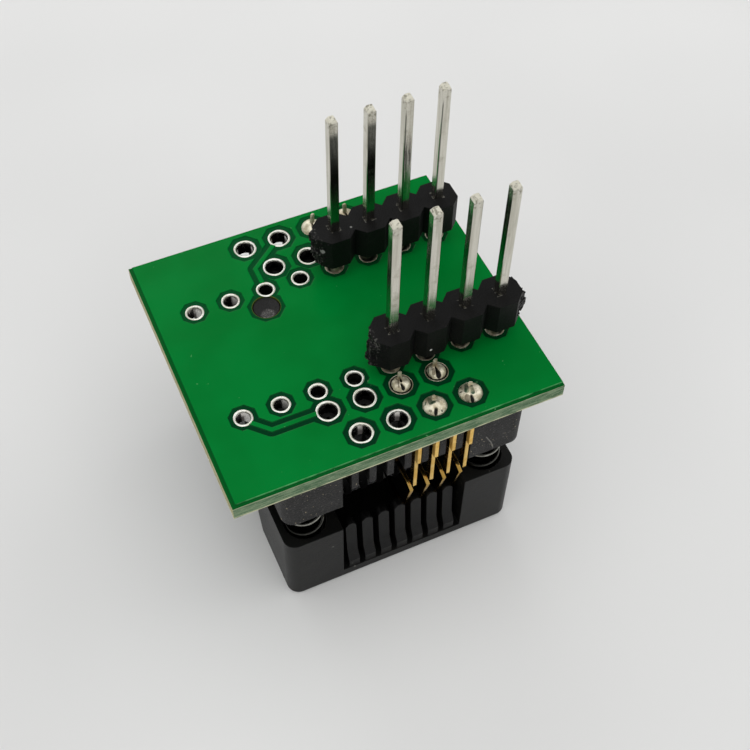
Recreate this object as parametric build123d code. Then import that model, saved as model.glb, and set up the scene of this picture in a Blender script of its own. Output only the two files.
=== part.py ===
from build123d import *
import os
from math import atan2, cos, degrees, pi, sin

# IC programming adapter: an open-top test socket soldered under a small board that
# stands on two rows of header pins. It lies upside down here, on the face of the
# socket's pressing cover, with the header pins up. Millimetres, +Z up. The origin is
# at the centre of the whole thing's outline, on the surface that it stands on.

# Board
BOARD_LENGTH = 22.7
BOARD_WIDTH = 20.6
BOARD_THICKNESS = 1.12
MASK_DEPTH = 0.05
BORDER = 0.25

# Hole pattern: two rows of eight for the headers, and staggered rows for the socket
PITCH = 2.54
HEADER_ROW_Y = 4.61
HEADER_HOLE_R = 0.51
HEADER_PAD_R = 0.65
HEADER_CLEAR_R = 0.98
ROW_HOLES = 8
PINS_PER_ROW = 4
SOCKET_PITCH = 1.27
SOCKET_INNER_Y = 6.26
SOCKET_OUTER_Y = 8.61
SOCKET_HOLE_R = 0.65
SOCKET_PAD_R = 0.79
SOCKET_CLEAR_R = 1.2
SOCKET_POSITIONS = 8
LOADED_FROM = 4
FLANGE = 0.04
TRACE_WIDTH = 0.32
TRACE_GAP = 0.36
FRONT_TRACK_LEAD = 0.23
FRONT_TRACK_RISE = 0.09
BACK_TRACK_LEAD = 0.51
PEG_CLEAR_R = 1.3

# Where the socket sits on the board, from the board's centre
SOCKET_X = 1.08
SOCKET_Y = 0.245
FIRST_HOLE_PITCHES = -3.75

# Header pins and strips
PIN_SIDE = 0.62
PIN_ABOVE_BOARD = 13.5
PIN_POINT = 0.28
PIN_TIP_SIDE = 0.36
STRIP_WIDTH = 2.54
STRIP_HEIGHT = 2.5
STRIP_STANDOFF = 1.35
STRIP_NOTCH = 0.62
TORN_DIP = 0.7

# Ragged ends of the strips, in slabs from the bottom up: (reach, front, back)
TORN_FRONT_LEFT = [(0.42, 1.0, 0.8), (0.28, 0.7, 1.0), (0.36, 0.9, 0.6), (0.16, 0.8, 0.9)]
TORN_FRONT_RIGHT = [(0.12, 0.9, 0.8), (0.62, 0.9, 0.1), (0.5, 0.8, 0.3), (0.1, 1.0, 0.9)]
TORN_BACK_LEFT = [(0.16, 0.8, 0.9), (0.36, 0.9, 0.6), (0.28, 0.7, 1.0), (0.42, 1.0, 0.8)]

# Solder: fillets at the header pins and domes at the socket's contacts
FILLET_GAP = 0.02
FILLET_NECK_R = 0.465
FILLET_WAIST_R = 0.545
FILLET_WAIST = 0.45
DOME_HEIGHT = 0.56
DOME_CROWN_R = 0.32
DOME_SHOULDER_R = 0.66
DOME_SHOULDER = 0.34

# Socket outline, shared by the base and the cover
BODY_LENGTH = 17.7
BODY_WIDTH = 18.2
BODY_CORNER_R = 0.9
BAY_LENGTH = 9.4
COMB_RIBS = 7

# The cover, and how far it can be pressed towards the board
COVER_HEIGHT = 7.1
RIM_GAP = 3.2
FLOOR = 1.0
TRAVEL = 2.4
WINDOW_END = 0.4
WINDOW_WIDTH = 7.2
WINDOW_CHAMFER = 0.6
CAVITY_CLEARANCE_X = 0.6
CAVITY_CLEARANCE_Y = 0.2
RIB_WIDTH = 0.84
RIB_TOP = 5.9
RIB_BEVEL = 0.26
RIB_DEPTH = 0.6
RIB_FACE_IN = 0.8
RIB_FACET_IN = 0.5
RIB_FACET_TOP = 2.6
RIB_FOOT_IN = 0.08
RIB_FOOT = 1.75
RECESS_DEPTH = 1.2
RECESS_CLEARANCE = 0.6
RECESS_FLARE = 0.7
RECESS_FLARE_HEIGHT = 2.0
COVER_EDGE = 0.2

# Base
BLOCK_HEIGHT = 6.38
DECK_THICKNESS = 2.48
DECK_SETBACK = 1.25
FIN_WIDTH = 0.5
FIN_DROP = 2.05
BLOCK_TOWER_GAP = 0.3
TOWER_END = 0.5
TOWER_WIDTH = 10.0
SEAT_WIDTH = 6.8
SEAT_STEP = 0.45
CHIP_POCKET_LENGTH = 10.2
CHIP_POCKET_WIDTH = 4.2
CHIP_POCKET_DEPTH = 0.8
GUIDE_POST = 0.8
GUIDE_POST_Y = 1.0
GUIDE_POST_DEPTH = 0.9
PEG_R = 0.9
PEG_X = 4.95
PEG_Y = 3.17
PEG_CLEARANCE = 0.06
PEG_BELOW_TOP = 0.12

# What hangs lowest in the base, above the cover's floor when that is pressed home
HOOK_STOP_GAP = 0.2
GUIDE_RIB_GAP = 0.6
NOSE_GAP = 0.72
SEAT_GAP = 1.35

# Latch hooks of the base, which keep the cover on
HOOK_WIDTH = 4.0
HOOK_THICKNESS = 1.0
HOOK_REACH = 0.6
HOOK_HEAD = 1.0
HOOK_BEVEL = 0.4
HOOK_PLAY = 0.05
HOOK_SET_IN = 0.05
HOOK_CLEARANCE = 0.15

# Springs
SPRING_X = 6.85
SPRING_Y = 7.25
SPRING_R = 1.3
SPRING_WIRE = 0.23
SPRING_TURNS = 8
SPRING_CLEARANCE = 0.1
SPRING_SEAT_GAP = 0.03
COVER_POCKET_DEPTH = 3.5
BASE_POCKET_DEPTH = 0.8

# Contacts, one stamped strip each: a leg at the face, a hidden limb, and a lever that the
# cover presses, with its knee near the face and its nose at the chip
CONTACT_THICKNESS = 0.28
CONTACT_TAIL = 0.5
TAIL_ABOVE_BOARD = 0.32
SLOT_CLEARANCE = 0.02
LEG_PROUD = 0.35
LEG_DEPTH = 1.05
LEG_HEIGHT = 3.86
LEG_STEP_OUTER = 0.35
LEG_STEP_INNER = 0.1
LEG_END_DROP = 3.4
BAR_TOWER_GAP = 0.3
BAR_HEIGHT = 0.78
LIMB_WIDTH = 0.75
LIMB_ROUND = 0.3
LEVER_THICKNESS = 0.24
ARM_RISE = 0.35
ARM_BEND_IN = 0.85
KNEE_IN = 0.35
KNEE_HEIGHT = 8.2
SHIN_IN = 0.42
SHIN_HEIGHT = 6.55
HEEL_IN = 0.95
HEEL_RISE = 0.7
SOLE_IN = 0.6
NOSE_IN = 0.6
NOSE_LENGTH = 0.6
NOSE_HEIGHT = 0.58
NOSE_TOP = 0.25
NOSE_CHIN = 0.35
NOSE_CHIN_RISE = 0.23

# Heights and half sizes that follow from them
BLOCK_UNDERSIDE = COVER_HEIGHT + RIM_GAP
BASE_TOP = BLOCK_UNDERSIDE + BLOCK_HEIGHT
BOARD_TOP = BASE_TOP + BOARD_THICKNESS
PIN_TIP = BOARD_TOP + PIN_ABOVE_BOARD
PAD_FLOOR = BOARD_TOP - MASK_DEPTH
DECK_UNDERSIDE = BASE_TOP - DECK_THICKNESS
FIN_UNDERSIDE = DECK_UNDERSIDE - FIN_DROP
PRESSED_FLOOR = FLOOR + TRAVEL
HOOK_UNDERSIDE = PRESSED_FLOOR + HOOK_STOP_GAP
SEAT_UNDERSIDE = PRESSED_FLOOR + SEAT_GAP
TOWER_UNDERSIDE = SEAT_UNDERSIDE + SEAT_STEP
HALF_BAY = BAY_LENGTH / 2
BODY_X = BODY_LENGTH / 2
BODY_Y = BODY_WIDTH / 2
DECK_Y = BODY_Y - DECK_SETBACK
TOWER_LENGTH = CHIP_POCKET_LENGTH + 2 * TOWER_END
WINDOW_LENGTH = CHIP_POCKET_LENGTH + 2 * WINDOW_END
TOWER_Y = TOWER_WIDTH / 2
BLOCK_INNER_Y = TOWER_Y + BLOCK_TOWER_GAP
BAR_INNER_Y = TOWER_Y + BAR_TOWER_GAP
RIB_INNER_Y = BODY_Y - RIB_FACE_IN - RIB_DEPTH
LEG_OUTER_Y = BODY_Y + LEG_PROUD
LEG_INNER_Y = LEG_OUTER_Y - LEG_DEPTH
COVER_POCKET_FLOOR = COVER_HEIGHT - COVER_POCKET_DEPTH
SPRING_POCKET_R = SPRING_R + SPRING_WIRE / 2 + SPRING_CLEARANCE

# Cuts run this far past the face that they open
PAST = 1.0

# Small round pieces have flat sides, and the springs' turns straight runs, to keep them light
SIDES = 12
POCKET_SIDES = 24
SPRING_RUNS = 10


def header_x(k):
    """Place of header hole k along the board, from the socket's centre."""
    return (FIRST_HOLE_PITCHES + k) * PITCH


def contact_x(k):
    """Place of contact position k along the socket."""
    return (k - (SOCKET_POSITIONS - 1) / 2) * SOCKET_PITCH


def comb_x(k):
    """Place of rib or fin k, halfway between two contact positions."""
    return (k - (COMB_RIBS - 1) / 2) * SOCKET_PITCH


def socket_hole(k, side):
    """Hole of contact k: the rows alternate, and the back mirrors the front."""
    inner = (k % 2 == 0) if side < 0 else (k % 2 == 1)
    return contact_x(k), side * (SOCKET_INNER_Y if inner else SOCKET_OUTER_Y), inner


def place(shape):
    """Moves a shape from the socket's centre to its place on the board."""
    return shape.moved(Location((SOCKET_X, SOCKET_Y, 0)))


def block(x0, x1, y0, y1, z0, z1):
    """A box between two corners."""
    solid = Box(x1 - x0, y1 - y0, z1 - z0, align=(Align.MIN, Align.MIN, Align.MIN))
    return solid.moved(Location((x0, y0, z0)))


def middle_block(length, width, z0, z1):
    """A box centred on the socket's axis."""
    return block(-length / 2, length / 2, -width / 2, width / 2, z0, z1)


def prism(x, y, r, z0, z1, sides, turn=0.0):
    """An upright prism on a regular outline."""
    outline = RegularPolygon(r, sides, rotation=turn)
    return extrude(Plane.XY.offset(z0) * outline, amount=z1 - z0).moved(Location((x, y, 0)))


def rod(x, y, r, z0, z1):
    """A small upright rod or hole."""
    return prism(x, y, r, z0, z1, SIDES)


def pocket(x, y, r, z0, z1):
    """A larger upright rod or hole, drawn rounder."""
    return prism(x, y, r, z0, z1, POCKET_SIDES)


def frustum(x, y, r0, r1, z0, z1):
    """A slice of an upright cone, of radius r0 at the bottom and r1 at the top."""
    lean = degrees(atan2((r0 - r1) * cos(pi / SIDES), z1 - z0))
    outline = RegularPolygon(r0, SIDES)
    return extrude(Plane.XY.offset(z0) * outline, amount=z1 - z0, taper=lean).moved(Location((x, y, 0)))


def rounded_block(length, width, r, z0, z1):
    """A box with rounded upright edges, centred on the socket's axis."""
    outline = RectangleRounded(length, width, r)
    return extrude(Plane.XY.offset(z0) * outline, amount=z1 - z0)


def across(points, x, thickness, side=1):
    """A flat piece drawn across the socket: (distance from the middle, height)."""
    face = make_face(Polyline([(side * y, z) for y, z in points], close=True))
    solid = extrude(Plane.YZ * face, amount=thickness / 2, both=True)
    return solid.moved(Location((x, 0, 0)))


def octagon(x, y, r, z0, z1):
    """An eight-sided prism, flats towards X and Y."""
    return prism(x, y, r, z0, z1, 8, turn=22.5)


def trace(points, width, z0, z1):
    """A printed track along straight runs, with round ends."""
    solids = []
    for (xa, ya), (xb, yb) in zip(points, points[1:]):
        run = Vector(xb - xa, yb - ya, 0)
        bar = block(0, run.length, -width / 2, width / 2, z0, z1)
        turn = run.get_signed_angle(Vector(1, 0, 0), Vector(0, 0, -1))
        solids.append(bar.rotate(Axis.Z, turn).moved(Location((xa, ya, 0))))
    for x, y in points[1:-1]:
        solids.append(rod(x, y, width / 2, z0, z1))
    return solids


def header_holes():
    """Every header hole as (x, y, loaded)."""
    holes = []
    for side in (-1, 1):
        for k in range(ROW_HOLES):
            holes.append((header_x(k), side * HEADER_ROW_Y, k >= ROW_HOLES - PINS_PER_ROW))
    return holes


def socket_holes():
    """Every socket hole as (x, y, loaded)."""
    holes = []
    for side in (-1, 1):
        for k in range(SOCKET_POSITIONS):
            x, y, inner = socket_hole(k, side)
            holes.append((x, y, k >= LOADED_FROM))
    return holes


def track_runs():
    """The two tracks on this face, each from a header hole to a socket hole."""
    front_x, front_y, inner = socket_hole(0, -1)
    run_y = front_y + FRONT_TRACK_RISE
    start_y = -HEADER_ROW_Y - FRONT_TRACK_LEAD
    front = [(header_x(0), start_y), (header_x(0) + start_y - run_y, run_y), (front_x, run_y)]
    back_x, back_y, inner = socket_hole(2, 1)
    bend_y = back_y - (back_x - header_x(2)) + BACK_TRACK_LEAD
    back = [(header_x(2), HEADER_ROW_Y), (header_x(2), bend_y), (back_x, back_y)]
    return [front, back]


def track_pads():
    """The pads that the two tracks join, as (x, y, radius)."""
    pads = [(header_x(0), -HEADER_ROW_Y, HEADER_PAD_R), (header_x(2), HEADER_ROW_Y, HEADER_PAD_R)]
    for k, side in ((0, -1), (2, 1)):
        x, y, inner = socket_hole(k, side)
        pads.append((x, y, SOCKET_PAD_R))
    return pads


def bare_band():
    """The strip along the left and front edges that has no copper under the mask."""
    band = block(-BOARD_LENGTH, BOARD_LENGTH, -BOARD_WIDTH, BOARD_WIDTH, PAD_FLOOR, BOARD_TOP + PAST)
    left = BORDER - BOARD_LENGTH / 2
    front = BORDER - BOARD_WIDTH / 2
    return band - block(left, BOARD_LENGTH, front, BOARD_WIDTH, PAD_FLOOR, BOARD_TOP + PAST)


def bare_moats():
    """The gaps in the copper round the holes and beside the tracks, as cutters."""
    high = BOARD_TOP + PAST
    moats = [octagon(x, y, HEADER_CLEAR_R, PAD_FLOOR, high) for x, y, loaded in header_holes()]
    moats += [octagon(x, y, SOCKET_CLEAR_R, PAD_FLOOR, high) for x, y, loaded in socket_holes()]
    moats += [octagon(-PEG_X, PEG_Y, PEG_CLEAR_R, PAD_FLOOR, high)]
    tracks = []
    for run in track_runs():
        moats += trace(run, TRACE_WIDTH + 2 * TRACE_GAP, PAD_FLOOR, high)
        tracks += trace(run, TRACE_WIDTH, PAD_FLOOR - PAST, high + PAST)
    ends = [rod(x, y, r, PAD_FLOOR, high) for x, y, r in track_pads()]
    return (Part() + moats) - tracks + ends


def make_board():
    """Laminate with its holes. The mask is lower wherever there is no copper under it."""
    half_x = BOARD_LENGTH / 2
    half_y = BOARD_WIDTH / 2
    board = block(-half_x, half_x, -half_y, half_y, BASE_TOP, BOARD_TOP)
    low = BASE_TOP - PAST
    high = BOARD_TOP + PAST
    cuts = [rod(x, y, HEADER_HOLE_R, low, high) for x, y, loaded in header_holes()]
    cuts += [rod(x, y, SOCKET_HOLE_R, low, high) for x, y, loaded in socket_holes()]
    cuts += [pocket(s * PEG_X, -s * PEG_Y, PEG_R + PEG_CLEARANCE, low, high) for s in (-1, 1)]
    return board - bare_band() - place(bare_moats() + cuts)


def eyelet(x, y, hole_r, pad_r):
    """A plated hole: a tinned barrel through the board with a domed ring on the top face."""
    ring = frustum(x, y, pad_r, hole_r - FLANGE, PAD_FLOOR, PAD_FLOOR + FLANGE)
    barrel = rod(x, y, hole_r, BASE_TOP, PAD_FLOOR)
    bore = rod(x, y, hole_r - FLANGE, BASE_TOP - PAST, BOARD_TOP + PAST)
    return ring + barrel - bore


def make_plated_holes():
    """The empty holes' plating, one eyelet each."""
    rings = [eyelet(x, y, HEADER_HOLE_R, HEADER_PAD_R) for x, y, loaded in header_holes() if not loaded]
    rings += [eyelet(x, y, SOCKET_HOLE_R, SOCKET_PAD_R) for x, y, loaded in socket_holes() if not loaded]
    return [place(ring) for ring in rings]


def make_header_solder():
    """A fillet at each header pin: it fills the hole and climbs to the strip."""
    waist = BOARD_TOP + FILLET_WAIST
    top = BOARD_TOP + STRIP_STANDOFF - FILLET_GAP
    fillets = []
    for x, y, loaded in header_holes():
        if loaded:
            joint = rod(x, y, HEADER_HOLE_R, BASE_TOP, PAD_FLOOR)
            joint += frustum(x, y, HEADER_PAD_R, FILLET_WAIST_R, PAD_FLOOR, waist)
            joint += frustum(x, y, FILLET_WAIST_R, FILLET_NECK_R, waist, top)
            fillets.append(place(joint - pin_shank(x, y, BASE_TOP, PIN_TIP)))
    return fillets


def pin_shank(x, y, z0, z1):
    """The square section of a header pin between two heights."""
    half = PIN_SIDE / 2
    return block(x - half, x + half, y - half, y + half, z0, z1)


def make_header_pin(x, y):
    """A square pin with a blunt pyramid point."""
    shank_top = PIN_TIP - PIN_POINT
    lean = degrees(atan2((PIN_SIDE - PIN_TIP_SIDE) / 2, PIN_POINT))
    end = Plane.XY.offset(shank_top) * Rectangle(PIN_SIDE, PIN_SIDE)
    point = extrude(end, amount=PIN_POINT, taper=lean).moved(Location((x, y, 0)))
    return place(pin_shank(x, y, BASE_TOP, shank_top) + point)


def strip_outline(x):
    """One link of the strip from above: a square with its corners cut off."""
    half = PITCH / 2
    side = STRIP_WIDTH / 2
    cut = STRIP_NOTCH
    front = [(x - half, cut - side), (x - half + cut, -side), (x + half - cut, -side), (x + half, cut - side)]
    return front + [(px, -py) for px, py in reversed(front)]


def strip_link(x, bottom):
    """One link of the moulded strip, with the square hole that its pin fills."""
    outline = make_face(Polyline(strip_outline(x), close=True))
    link = extrude(Plane.XY.offset(bottom) * outline, amount=STRIP_HEIGHT)
    return link - pin_shank(x, 0, bottom, bottom + STRIP_HEIGHT)


def torn_end(x, way, bottom, jags):
    """Ragged plastic where the strip was snapped: slabs of uneven reach."""
    side = STRIP_WIDTH / 2 - STRIP_NOTCH
    slab = STRIP_HEIGHT / len(jags)
    solids = []
    for i, (reach, front, back) in enumerate(jags):
        z0 = bottom + i * slab
        peak = x + way * reach
        dip = x + way * reach * TORN_DIP
        points = [(x, -side * front), (peak, -side * front / 2), (dip, 0)]
        points += [(peak, side * back / 2), (x, side * back)]
        face = make_face(Polyline(points, close=True))
        solids.append(extrude(Plane.XY.offset(z0) * face, amount=slab))
    return solids


def make_header_strip(side, left_jags, right_jags):
    """Four links in a row. Snapped ends are ragged."""
    bottom = BOARD_TOP + STRIP_STANDOFF
    first = ROW_HOLES - PINS_PER_ROW
    strip = Part() + [strip_link(header_x(k), bottom) for k in range(first, ROW_HOLES)]
    strip += torn_end(header_x(first) - PITCH / 2, -1, bottom, left_jags)
    if right_jags:
        strip += torn_end(header_x(ROW_HOLES - 1) + PITCH / 2, 1, bottom, right_jags)
    return place(strip.moved(Location((0, side * HEADER_ROW_Y, 0))))


def tail_block(k, side, slack=0.0, z0=0.0, z1=0.0):
    """The upright tail of contact k, or a hole for it with some slack."""
    x, y, inner = socket_hole(k, side)
    half_x = CONTACT_THICKNESS / 2 + slack
    half_y = CONTACT_TAIL / 2 + slack
    return block(x - half_x, x + half_x, y - half_y, y + half_y, z0, z1)


def make_socket_solder():
    """A dome over each soldered contact, which fills its hole and covers its pad."""
    shoulder = BOARD_TOP + DOME_SHOULDER
    domes = []
    for side in (-1, 1):
        for k in range(LOADED_FROM, SOCKET_POSITIONS):
            x, y, inner = socket_hole(k, side)
            joint = rod(x, y, SOCKET_HOLE_R, BASE_TOP, PAD_FLOOR)
            joint += frustum(x, y, SOCKET_PAD_R, DOME_SHOULDER_R, PAD_FLOOR, shoulder)
            joint += frustum(x, y, DOME_SHOULDER_R, DOME_CROWN_R, shoulder, BOARD_TOP + DOME_HEIGHT)
            tail = tail_block(k, side, z0=BASE_TOP, z1=BOARD_TOP + TAIL_ABOVE_BOARD)
            domes.append(place(joint - tail))
    return domes


def leg_outline(bar_top):
    """The leg at the base's face, stepped back halfway, from the bar round to the limb."""
    bar_low = bar_top - BAR_HEIGHT
    leg_top = BASE_TOP - SLOT_CLEARANCE
    step = leg_top - LEG_HEIGHT
    leg_end = step - LEG_END_DROP
    outer = LEG_OUTER_Y - LEG_STEP_OUTER
    inner = LEG_INNER_Y + LEG_STEP_INNER
    points = [(LEG_INNER_Y, bar_top), (LEG_INNER_Y, leg_top), (LEG_OUTER_Y, leg_top), (LEG_OUTER_Y, step)]
    points += [(outer, step), (outer, leg_end), (inner, leg_end), (inner, bar_low)]
    return points + [(BAR_INNER_Y + LIMB_WIDTH, bar_low)]


def lever_outline():
    """The limb's end, the arm out to the knee, the shin, and the sole back to the nose."""
    limb = BAR_INNER_Y + LIMB_WIDTH
    arm_top = KNEE_HEIGHT + ARM_RISE
    arm_low = arm_top - LEVER_THICKNESS
    knee = BODY_Y - KNEE_IN
    bend = knee - ARM_BEND_IN
    shin = knee - SHIN_IN
    heel = knee - HEEL_IN
    low = PRESSED_FLOOR + NOSE_GAP
    sole = low + LEVER_THICKNESS
    tip = SEAT_WIDTH / 2 - NOSE_IN
    points = [(limb, arm_top + LIMB_ROUND), (limb + LIMB_ROUND, arm_top), (bend, arm_top)]
    points += [(knee, KNEE_HEIGHT), (shin, SHIN_HEIGHT), (heel, low + HEEL_RISE)]
    points += [(heel - SOLE_IN, low), (tip + NOSE_CHIN, low), (tip, low + NOSE_CHIN_RISE)]
    points += [(tip, low + NOSE_HEIGHT), (tip + NOSE_TOP, low + NOSE_HEIGHT)]
    points += [(tip + NOSE_LENGTH, sole), (heel - SOLE_IN, sole)]
    points += [(heel - LEVER_THICKNESS, low + HEEL_RISE), (shin - LEVER_THICKNESS, SHIN_HEIGHT)]
    points += [(knee - LEVER_THICKNESS, KNEE_HEIGHT), (bend, arm_low)]
    return points + [(BAR_INNER_Y + LIMB_ROUND, arm_low), (BAR_INNER_Y, arm_top)]


def contact_outline():
    """The stamped strip from the side: leg, bar under the deck, spring limb, lever, nose."""
    bar_top = DECK_UNDERSIDE - SLOT_CLEARANCE
    return [(BAR_INNER_Y, bar_top)] + leg_outline(bar_top) + lever_outline()


def make_contact(k, side):
    """Contact k of one side, with its tail up through the board."""
    body = across(contact_outline(), contact_x(k), CONTACT_THICKNESS, side)
    x, y, inner = socket_hole(k, side)
    root = DECK_UNDERSIDE - BAR_HEIGHT if inner else BASE_TOP - DECK_THICKNESS / 2
    tail = tail_block(k, side, z0=root, z1=BOARD_TOP + TAIL_ABOVE_BOARD)
    return place(body + tail)


def deck_and_blocks():
    """The base's deck with its four corner blocks, open under the deck."""
    body = rounded_block(BODY_LENGTH, BODY_WIDTH, BODY_CORNER_R, BLOCK_UNDERSIDE, BASE_TOP)
    for s in (-1, 1):
        y0, y1 = sorted((s * DECK_Y, s * (BODY_Y + PAST)))
        body -= block(-HALF_BAY, HALF_BAY, y0, y1, BLOCK_UNDERSIDE - PAST, BASE_TOP + PAST)
    low = BLOCK_UNDERSIDE - PAST
    body -= middle_block(BAY_LENGTH, BODY_WIDTH + PAST, low, DECK_UNDERSIDE)
    body -= middle_block(BODY_LENGTH + PAST, 2 * BLOCK_INNER_Y, low, DECK_UNDERSIDE)
    for x, y in spring_places():
        body -= pocket(x, y, SPRING_POCKET_R, low, BLOCK_UNDERSIDE + BASE_POCKET_DEPTH)
    return body


def seat_tower():
    """The tower that holds the chip's seat, with a shallow pocket for the chip's body."""
    tower = middle_block(TOWER_LENGTH, TOWER_WIDTH, TOWER_UNDERSIDE, DECK_UNDERSIDE)
    tower += middle_block(TOWER_LENGTH, SEAT_WIDTH, SEAT_UNDERSIDE, TOWER_UNDERSIDE)
    tower += [guide_rib(k, s) for k in range(COMB_RIBS) for s in (-1, 1)]
    low = SEAT_UNDERSIDE - PAST
    tower -= middle_block(CHIP_POCKET_LENGTH, CHIP_POCKET_WIDTH, low, SEAT_UNDERSIDE + CHIP_POCKET_DEPTH)
    return tower + guide_posts()


def guide_rib(k, side):
    """A rib between two contacts under the tower, which keeps the chip's leads apart."""
    y0, y1 = sorted((side * CHIP_POCKET_WIDTH / 2, side * TOWER_Y))
    x0 = comb_x(k) - FIN_WIDTH / 2
    return block(x0, x0 + FIN_WIDTH, y0, y1, PRESSED_FLOOR + GUIDE_RIB_GAP, TOWER_UNDERSIDE)


def guide_posts():
    """Four posts that centre the chip on its seat."""
    posts = []
    z0 = SEAT_UNDERSIDE - GUIDE_POST_DEPTH
    for sx in (-1, 1):
        for sy in (-1, 1):
            x0, x1 = sorted((sx * (TOWER_LENGTH - GUIDE_POST) / 2, sx * TOWER_LENGTH / 2))
            y0, y1 = sorted((sy * GUIDE_POST_Y, sy * (GUIDE_POST_Y + GUIDE_POST)))
            posts.append(block(x0, x1, y0, y1, z0, TOWER_UNDERSIDE))
    return posts


def face_fin(k, side):
    """A fin between two contacts: on the deck's face, and on under the deck."""
    x0 = comb_x(k) - FIN_WIDTH / 2
    y0, y1 = sorted((side * DECK_Y, side * BODY_Y))
    front = block(x0, x0 + FIN_WIDTH, y0, y1, FIN_UNDERSIDE, BASE_TOP)
    y0, y1 = sorted((side * TOWER_Y, side * DECK_Y))
    return [front, block(x0, x0 + FIN_WIDTH, y0, y1, FIN_UNDERSIDE, DECK_UNDERSIDE)]


def make_base():
    """The moulded base: deck, corner blocks, fins, tower with the chip's seat, hooks."""
    base = deck_and_blocks() + seat_tower()
    for side in (-1, 1):
        for k in range(COMB_RIBS):
            base += face_fin(k, side)
    for s in (-1, 1):
        base += hook(s)
        base += pocket(s * PEG_X, -s * PEG_Y, PEG_R, BASE_TOP, BOARD_TOP - PEG_BELOW_TOP)
        for k in range(SOCKET_POSITIONS):
            if socket_hole(k, s)[2]:
                base -= tail_block(k, s, SLOT_CLEARANCE, DECK_UNDERSIDE - PAST, BASE_TOP + PAST)
    return place(base)


def hook(s):
    """A latch arm beside the cover's end wall, with its head turned inwards."""
    outer = BODY_X - HOOK_SET_IN
    inner = outer - HOOK_THICKNESS
    head = inner - HOOK_REACH
    low = HOOK_UNDERSIDE
    root = DECK_UNDERSIDE + HOOK_BEVEL
    points = [(outer, root), (outer, low + HOOK_BEVEL), (outer - HOOK_BEVEL, low), (head + HOOK_BEVEL, low)]
    points += [(head, low + HOOK_BEVEL), (head, low + HOOK_HEAD), (inner, low + HOOK_HEAD), (inner, root)]
    face = make_face(Polyline([(s * x, z) for x, z in points], close=True))
    return extrude(Plane.XZ * face, amount=HOOK_WIDTH / 2, both=True)


def spring_places():
    """The four springs' axes, from the socket's centre."""
    return [(sx * SPRING_X, sy * SPRING_Y) for sx in (-1, 1) for sy in (-1, 1)]


def cover_rib(k, side):
    """A rib between two contact slots: bevelled top, sloped face, steeper foot facet."""
    root = FLOOR / 2
    face_y = BODY_Y - RIB_FACE_IN
    facet_y = BODY_Y - RIB_FACET_IN
    foot_y = BODY_Y - RIB_FOOT_IN
    points = [(RIB_INNER_Y, root), (RIB_INNER_Y, RIB_TOP), (face_y, RIB_TOP), (facet_y, RIB_FACET_TOP)]
    points += [(foot_y, RIB_FOOT), (foot_y, root)]
    rib = across(points, comb_x(k), RIB_WIDTH, side)
    crest = rib.faces().sort_by(Axis.Z)[-1].edges().filter_by(Axis.Y)
    return chamfer(crest, RIB_BEVEL)


def end_recess(s):
    """The recess in a short end for the base's hook, flared at the standing face."""
    half = HOOK_WIDTH / 2 + RECESS_CLEARANCE
    wide = half + RECESS_FLARE
    points = [(-wide, -PAST), (-wide, 0), (-half, RECESS_FLARE_HEIGHT), (-half, COVER_HEIGHT + PAST)]
    points += [(-y, z) for y, z in reversed(points)]
    face = make_face(Polyline(points, close=True))
    x0 = min(s * (BODY_X - RECESS_DEPTH), s * (BODY_X + PAST))
    return extrude(Plane.YZ.offset(x0) * face, amount=RECESS_DEPTH + PAST)


def hook_window(s):
    """The pocket in the recess's wall that the hook's head runs in."""
    head = BODY_X - HOOK_SET_IN - HOOK_THICKNESS - HOOK_REACH
    x0, x1 = sorted((s * (head - HOOK_CLEARANCE), s * (BODY_X - RECESS_DEPTH / 2)))
    half = HOOK_WIDTH / 2 + HOOK_CLEARANCE
    return block(x0, x1, -half, half, FLOOR, HOOK_UNDERSIDE + HOOK_HEAD + HOOK_PLAY)


def chip_window():
    """The opening that the chip goes through, with sloped edges on the outer face."""
    throat = middle_block(WINDOW_LENGTH, WINDOW_WIDTH, -PAST, FLOOR + PAST)
    mouth = Rectangle(WINDOW_LENGTH + 2 * WINDOW_CHAMFER, WINDOW_WIDTH + 2 * WINDOW_CHAMFER)
    return throat + extrude(mouth, amount=WINDOW_CHAMFER, taper=45)


def make_cover():
    """The pressing cover: corner posts with spring pockets, ribbed bays, chip window."""
    cover = rounded_block(BODY_LENGTH, BODY_WIDTH, BODY_CORNER_R, 0, COVER_HEIGHT)
    cover = chamfer(cover.faces().sort_by(Axis.Z)[0].edges(), COVER_EDGE)
    high = COVER_HEIGHT + PAST
    cavity_length = TOWER_LENGTH + 2 * CAVITY_CLEARANCE_X
    cavity_width = TOWER_WIDTH + 2 * CAVITY_CLEARANCE_Y
    cover -= middle_block(BAY_LENGTH, BODY_WIDTH + PAST, FLOOR, high)
    cover -= middle_block(cavity_length, cavity_width, FLOOR, high)
    cover -= chip_window()
    for s in (-1, 1):
        cover -= end_recess(s)
        cover -= hook_window(s)
    for x, y in spring_places():
        cover -= pocket(x, y, SPRING_POCKET_R, COVER_POCKET_FLOOR, high)
    cover += [cover_rib(k, s) for k in range(COMB_RIBS) for s in (-1, 1)]
    return place(cover)


def coil_path(bottom, top):
    """A helix from straight runs."""
    count = SPRING_TURNS * SPRING_RUNS
    turn = 2 * pi / SPRING_RUNS
    rise = (top - bottom) / count
    points = []
    for i in range(count + 1):
        points.append((SPRING_R * cos(i * turn), SPRING_R * sin(i * turn), bottom + i * rise))
    return Polyline(points)


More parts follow.
